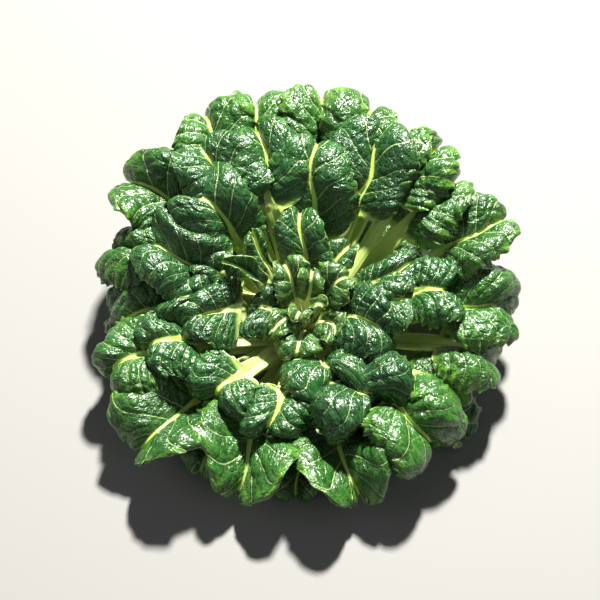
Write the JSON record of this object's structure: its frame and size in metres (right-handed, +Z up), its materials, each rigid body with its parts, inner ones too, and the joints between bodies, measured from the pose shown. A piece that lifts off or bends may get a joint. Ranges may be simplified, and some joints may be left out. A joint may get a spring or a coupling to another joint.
{
  "type": "tatsoi",
  "caption": "Flat rosette of dark glossy spoon-shaped leaves with puckered, rolled-back blades on pale petioles, cut off level at the crown, rests on its cut face.",
  "frame": {"origin": "centre of the flat cut face under the crown, where the head rests", "axes": "+Z up, away from the surface the head rests on; -Y towards the low front of the rosette, +Y towards its raised back"},
  "size_m": [0.2656, 0.2619, 0.1085],
  "materials": {
    "crown": "satin",
    "outer_leaf": "semi-gloss",
    "inner_leaf": "semi-gloss",
    "heart_leaf": "semi-gloss"
  },
  "bodies": {
    "root": {"crown_stump": "crown", "low_leaf_1": "outer_leaf", "low_leaf_2": "outer_leaf", "low_leaf_3": "outer_leaf", "low_leaf_4": "outer_leaf", "low_leaf_5": "outer_leaf", "low_leaf_6": "outer_leaf", "low_leaf_7": "outer_leaf", "low_leaf_8": "outer_leaf", "outer_leaf_1": "outer_leaf", "outer_leaf_2": "outer_leaf", "outer_leaf_3": "outer_leaf", "outer_leaf_4": "outer_leaf", "outer_leaf_5": "outer_leaf", "outer_leaf_6": "outer_leaf", "outer_leaf_7": "outer_leaf", "outer_leaf_8": "outer_leaf", "outer_leaf_9": "outer_leaf", "outer_leaf_10": "outer_leaf", "outer_leaf_11": "outer_leaf", "outer_leaf_12": "outer_leaf", "outer_leaf_13": "outer_leaf", "outer_leaf_14": "outer_leaf", "outer_leaf_15": "outer_leaf", "outer_leaf_16": "outer_leaf", "outer_leaf_17": "outer_leaf", "outer_leaf_18": "outer_leaf", "outer_leaf_19": "outer_leaf", "middle_leaf_1": "inner_leaf", "middle_leaf_2": "inner_leaf", "middle_leaf_3": "inner_leaf", "middle_leaf_4": "inner_leaf", "middle_leaf_5": "inner_leaf", "middle_leaf_6": "inner_leaf", "middle_leaf_7": "inner_leaf", "middle_leaf_8": "inner_leaf", "middle_leaf_9": "inner_leaf", "middle_leaf_10": "inner_leaf", "middle_leaf_11": "inner_leaf", "middle_leaf_12": "inner_leaf", "inner_leaf_1": "inner_leaf", "inner_leaf_2": "inner_leaf", "inner_leaf_3": "inner_leaf", "inner_leaf_4": "inner_leaf", "inner_leaf_5": "inner_leaf", "inner_leaf_6": "inner_leaf", "inner_leaf_7": "inner_leaf", "inner_leaf_8": "inner_leaf", "inner_leaf_9": "inner_leaf", "inner_leaf_10": "inner_leaf", "inner_leaf_11": "inner_leaf", "heart_leaf_1": "heart_leaf", "heart_leaf_2": "heart_leaf", "heart_leaf_3": "heart_leaf", "heart_leaf_4": "heart_leaf", "heart_leaf_5": "heart_leaf", "heart_leaf_6": "heart_leaf", "heart_leaf_7": "heart_leaf", "heart_leaf_8": "heart_leaf"}
  },
  "joints": []
}
